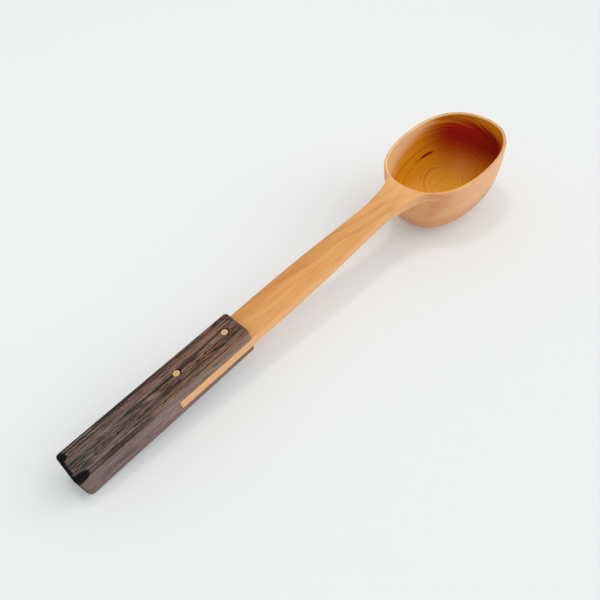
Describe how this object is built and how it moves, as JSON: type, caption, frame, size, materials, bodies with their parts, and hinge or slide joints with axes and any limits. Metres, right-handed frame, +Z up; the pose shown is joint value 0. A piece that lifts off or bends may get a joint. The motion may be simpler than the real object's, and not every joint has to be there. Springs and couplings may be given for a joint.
{
  "type": "wooden ladle",
  "caption": "Wooden ladle with a deep oval bowl carved in one piece with its flat arm, and a dark slotted grip that light wooden pins hold on the arm's tongue.",
  "frame": {"origin": "on the table, under the middle of the ladle's bounding box", "axes": "+X from the end of the grip to the tip of the bowl, +Y across, +Z up from the table"},
  "size_m": [0.319, 0.0628, 0.0478],
  "materials": {
    "cherry": "oiled satin",
    "dark_wood": "oiled satin",
    "pin_wood": "oiled satin"
  },
  "bodies": {
    "root": {"bowl_and_arm": "cherry", "grip": "dark_wood", "pin_front": "pin_wood", "pin_rear": "pin_wood"}
  },
  "joints": []
}
